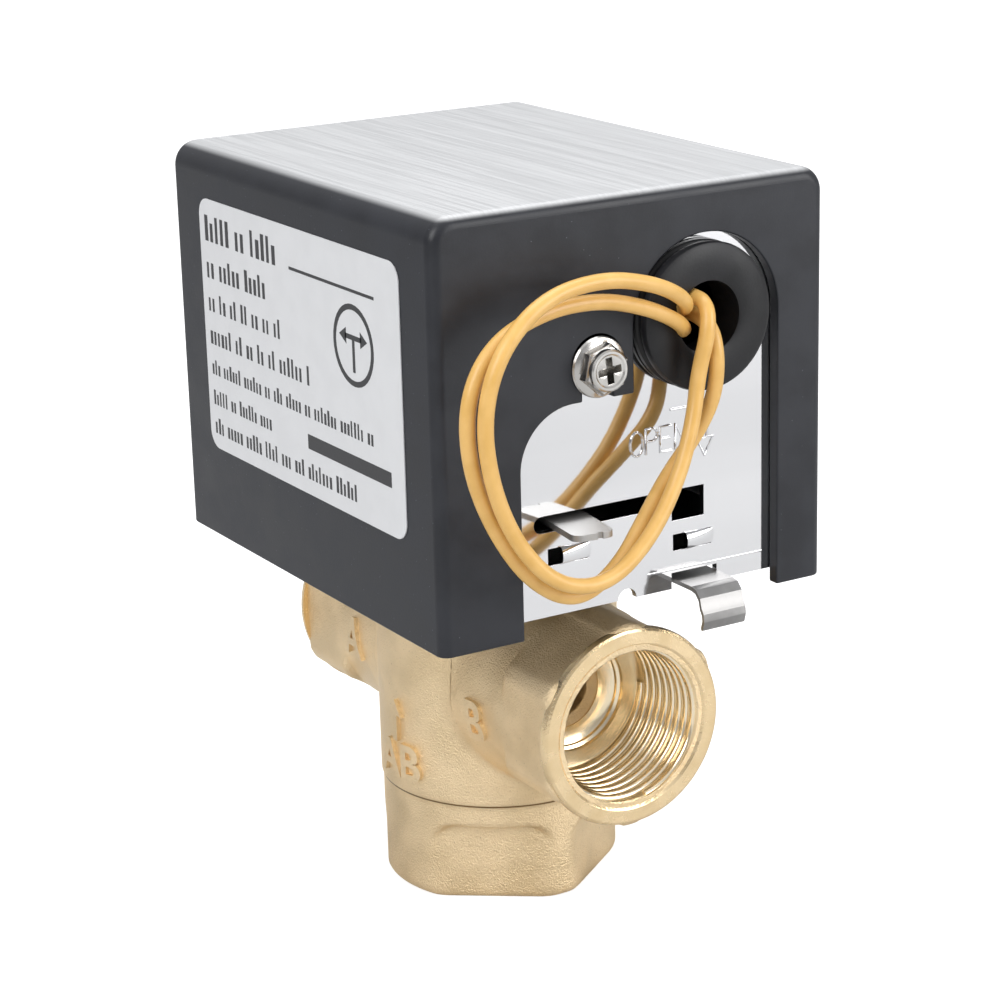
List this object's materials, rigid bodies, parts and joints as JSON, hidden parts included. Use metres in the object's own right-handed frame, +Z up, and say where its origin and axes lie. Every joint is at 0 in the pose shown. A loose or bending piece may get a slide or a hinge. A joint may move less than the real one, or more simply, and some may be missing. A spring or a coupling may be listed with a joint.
{
  "type": "motorised zone valve",
  "caption": "Motor-driven diverting zone valve: brass tee body with female pipe ports, and a boxed power head with a manual lever and two supply leads.",
  "frame": {"origin": "centre of the bottom port (AB) at its face", "axes": "+Z up along the body towards the power head, +Y from port B towards port A, +X towards the side opposite the label"},
  "size_m": [0.0704, 0.0999, 0.122],
  "materials": {
    "cast_brass": "sand-cast skin, machined at the port faces",
    "turned_brass": "turned, bright",
    "bronze": "sintered bronze, satin",
    "black_rubber": "moulded, matt",
    "stainless": "ground, satin",
    "spring_steel": "rolled strip, satin",
    "sintered_steel": "sintered, dull",
    "galvanised_sheet": "galvanised sheet",
    "bright_plate": "bright mirror finish",
    "zinc_steel": "bluish zinc plate",
    "nickel_screw": "nickel plate",
    "zinc_can": "zinc-plated drawn steel",
    "acetal": "natural acetal",
    "bobbin_plastic": "moulded nylon",
    "copper_wire": "bare copper",
    "ferrite": "pressed ferrite",
    "lead_insulation": "yellow-orange, semi-gloss",
    "cover_plastic": "charcoal enamel with fine flecks, paler satin top",
    "label_film": "silvery film"
  },
  "bodies": {
    "body": {"valve_body": "cast_brass", "bonnet": "cast_brass", "bonnet_seal": "black_rubber", "bonnet_screws": "zinc_steel", "stem_rings": "black_rubber", "base_plate": "galvanised_sheet", "front_plate": "bright_plate", "motor_deck": "galvanised_sheet", "deck_posts": "turned_brass", "floor_screws": "zinc_steel", "deck_screws": "zinc_steel", "latch_studs": "zinc_steel", "hub_bushing": "bronze", "spring_post": "zinc_steel", "return_spring": "spring_steel", "transfer_arbor": "stainless", "motor_can": "zinc_can", "motor_end_plate": "zinc_can", "motor_bearings": "bronze", "coil_bobbin": "bobbin_plastic", "coil_winding": "copper_wire", "stator_cups": "zinc_can", "motor_screws": "zinc_steel", "lead_anchor": "bobbin_plastic", "lead_1": "lead_insulation", "lead_2": "lead_insulation", "lead_1_tip": "copper_wire", "lead_2_tip": "copper_wire", "grommet": "black_rubber", "cover_screw": "nickel_screw", "screw_nut": "zinc_steel"},
    "valve_swing": {"stem": "stainless", "stem_clip": "spring_steel", "ball_arm": "stainless", "valve_ball": "black_rubber", "drive_sleeve": "sintered_steel", "sector_gear": "sintered_steel", "lever_clip": "spring_steel"},
    "lever": {"manual_lever": "stainless"},
    "transfer": {"transfer_pinion": "sintered_steel", "transfer_wheel": "acetal"},
    "rotor": {"motor_pinion": "turned_brass", "rotor_magnet": "ferrite", "rotor_hub": "acetal", "motor_shaft": "stainless"},
    "latch": {"latch_clip": "spring_steel"},
    "head_cover": {"cover": "cover_plastic", "label": "label_film"}
  },
  "joints": [
    {"name": "valve_swing", "type": "hinge", "parent": "body", "child": "valve_swing", "pos_m": [-0.01, 0, 0.0368], "axis": [0, 0, 1], "range_deg": [0, 26], "stiffness_Nm_per_rad": 0.05, "springref_deg": -20.05},
    {"name": "lever_swing", "type": "hinge", "parent": "body", "child": "lever", "pos_m": [-0.01, 0, 0.0727], "axis": [0, 0, 1], "range_deg": [0, 26]},
    {"name": "transfer_spin", "type": "hinge", "parent": "body", "child": "transfer", "pos_m": [0.0166, 0, 0.07], "axis": [0, 0, 1], "range_deg": [-138.7, 0]},
    {"name": "rotor_spin", "type": "hinge", "parent": "body", "child": "rotor", "pos_m": [0.00473, 0.00996, 0.09], "axis": [0, 0, 1], "range_deg": [0, 577.8]},
    {"name": "latch_slide", "type": "slide", "parent": "body", "child": "latch", "axis": [0, -1, 0], "range_m": [0, 0.0036]},
    {"name": "cover_lift", "type": "slide", "parent": "body", "child": "head_cover", "axis": [0, 0, 1], "range_m": [0, 0.075]}
  ],
  "couplings": [
    {"joint": "lever_swing", "follows": "valve_swing", "ratio": 1},
    {"joint": "transfer_spin", "follows": "valve_swing", "ratio": -5.3333},
    {"joint": "rotor_spin", "follows": "valve_swing", "ratio": 22.222}
  ]
}
